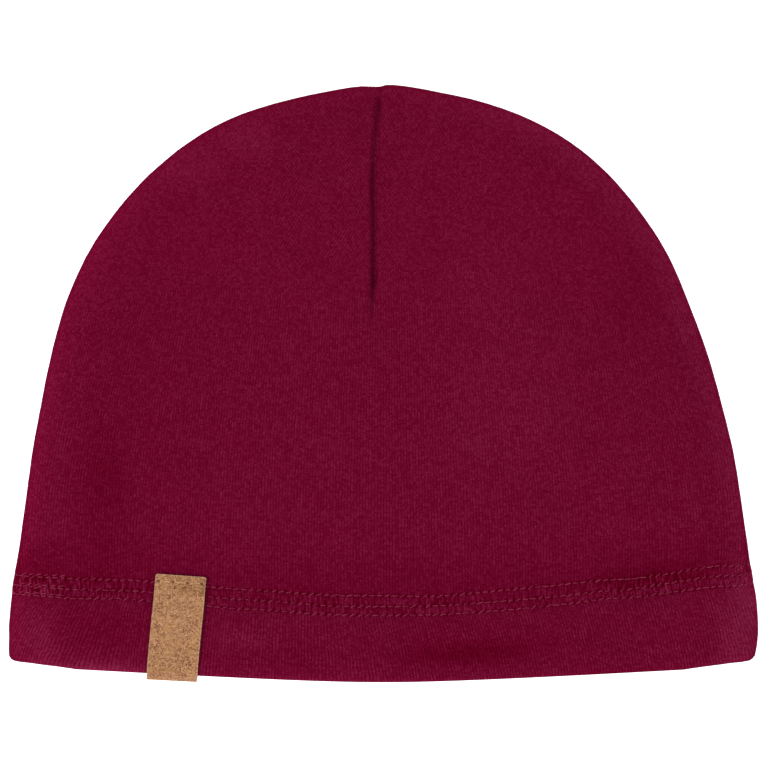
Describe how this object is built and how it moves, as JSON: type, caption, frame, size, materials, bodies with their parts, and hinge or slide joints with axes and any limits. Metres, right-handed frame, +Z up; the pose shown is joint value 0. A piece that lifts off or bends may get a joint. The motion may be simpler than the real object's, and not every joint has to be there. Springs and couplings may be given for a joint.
{
  "type": "knitted beanie",
  "caption": "Close-fitting knitted beanie lying flat, with a turned-up hem, a dart down the crown and a folded hem label.",
  "frame": {"origin": "on the floor, at the middle of the hat's box in plan", "axes": "+X across the hat to the right, +Y from the hem to the crown, +Z up through the two layers"},
  "size_m": [0.2206, 0.1759, 0.0168],
  "materials": {
    "cloth": "deep red cotton knit, brushed, matt",
    "cork_label": "tan cork cloth, matt"
  },
  "bodies": {
    "root": {"front_panel": "cloth", "back_panel": "cloth", "label_tag": "cork_label"}
  },
  "joints": []
}
